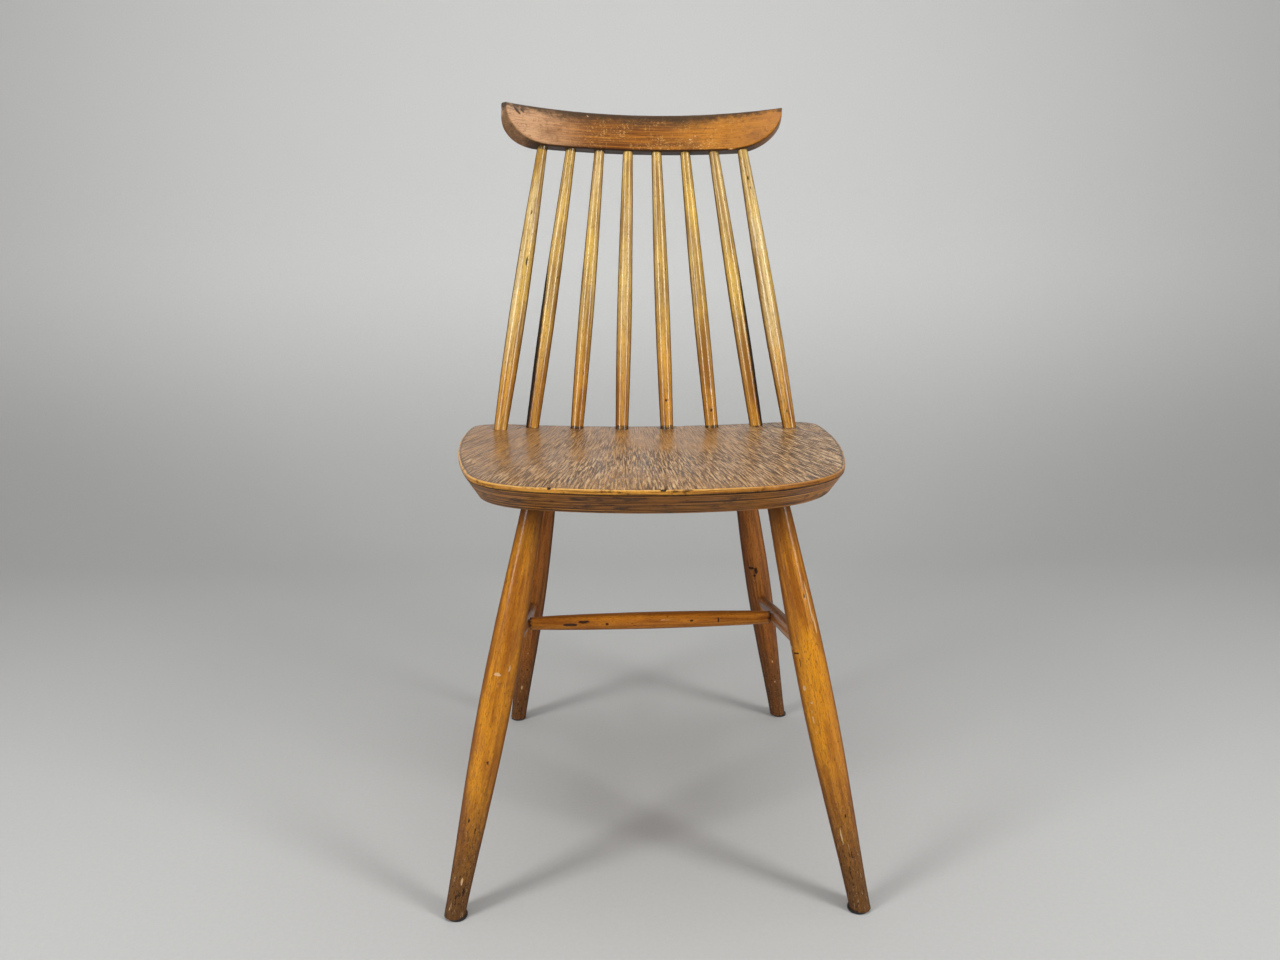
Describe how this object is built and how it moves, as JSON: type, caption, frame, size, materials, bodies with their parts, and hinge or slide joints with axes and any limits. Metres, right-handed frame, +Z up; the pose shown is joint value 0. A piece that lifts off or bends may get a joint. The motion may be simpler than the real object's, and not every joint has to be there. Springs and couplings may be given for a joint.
{
  "type": "spindle-back chair",
  "caption": "Wooden side chair with a saddled, bevelled seat, splayed turned legs, an H of stretchers and a spindle back under a curved crest rail; worn, scuffed varnish.",
  "frame": {"origin": "on the floor, under the middle of the chair's bounding box", "axes": "+Z up; -Y the way the sitter faces; +X to the sitter's left, the right-hand side seen from the front"},
  "size_m": [0.438, 0.4883, 0.836],
  "materials": {
    "seat_varnish": "dark worn varnish, crazed front to back",
    "seat_wood": "brown varnish, satin",
    "crest_wood": "brown varnish, worn at the edges",
    "spindle_wood": "honey varnish, glossy",
    "front_leg_wood": "amber varnish, scuffed, dirty at the foot",
    "rear_leg_wood": "red-brown varnish, scuffed",
    "stretcher_wood": "amber varnish, scuffed",
    "glide": "black, worn"
  },
  "bodies": {
    "root": {"seat_panel": "seat_varnish", "seat_base": "seat_wood", "crest_rail": "crest_wood", "spindle_1": "spindle_wood", "spindle_2": "spindle_wood", "spindle_3": "spindle_wood", "spindle_4": "spindle_wood", "spindle_5": "spindle_wood", "spindle_6": "spindle_wood", "spindle_7": "spindle_wood", "spindle_8": "spindle_wood", "leg_front_left": "front_leg_wood", "leg_front_right": "front_leg_wood", "leg_rear_left": "rear_leg_wood", "leg_rear_right": "rear_leg_wood", "side_stretcher_left": "stretcher_wood", "side_stretcher_right": "stretcher_wood", "cross_stretcher": "stretcher_wood", "glide_front_left": "glide", "glide_front_right": "glide", "glide_rear_left": "glide", "glide_rear_right": "glide"}
  },
  "joints": []
}
